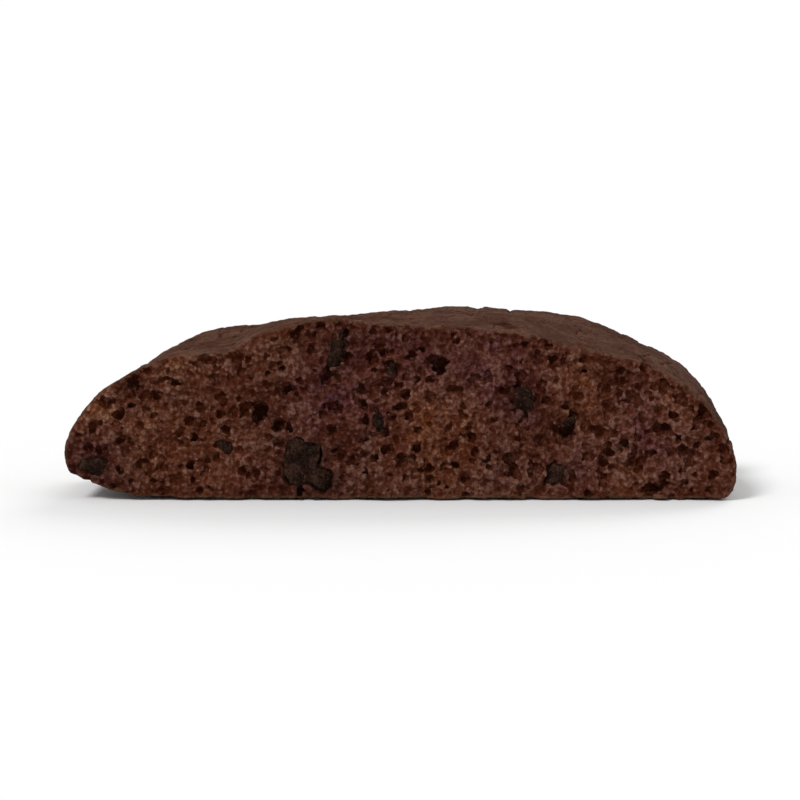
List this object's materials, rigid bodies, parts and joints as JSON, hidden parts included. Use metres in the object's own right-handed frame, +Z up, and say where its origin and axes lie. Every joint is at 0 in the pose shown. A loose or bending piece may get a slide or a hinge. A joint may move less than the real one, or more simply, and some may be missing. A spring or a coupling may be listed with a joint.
{
  "type": "chocolate biscotti",
  "caption": "Domed slice of chocolate biscotti with two rough cut faces, a thin crust and a flat base.",
  "frame": {"origin": "on the surface that the slice stands on, under the middle of its outline", "axes": "+X along the cut face from the blunt tip that lifts off the surface to the steep end, +Y through the slice from the front cut to the back cut, +Z up"},
  "size_m": [0.068, 0.0174, 0.0185],
  "materials": {
    "baked_dough": "dry, rough crumb with a smoother matt crust"
  },
  "bodies": {
    "root": {"biscotto": "baked_dough"}
  },
  "joints": []
}
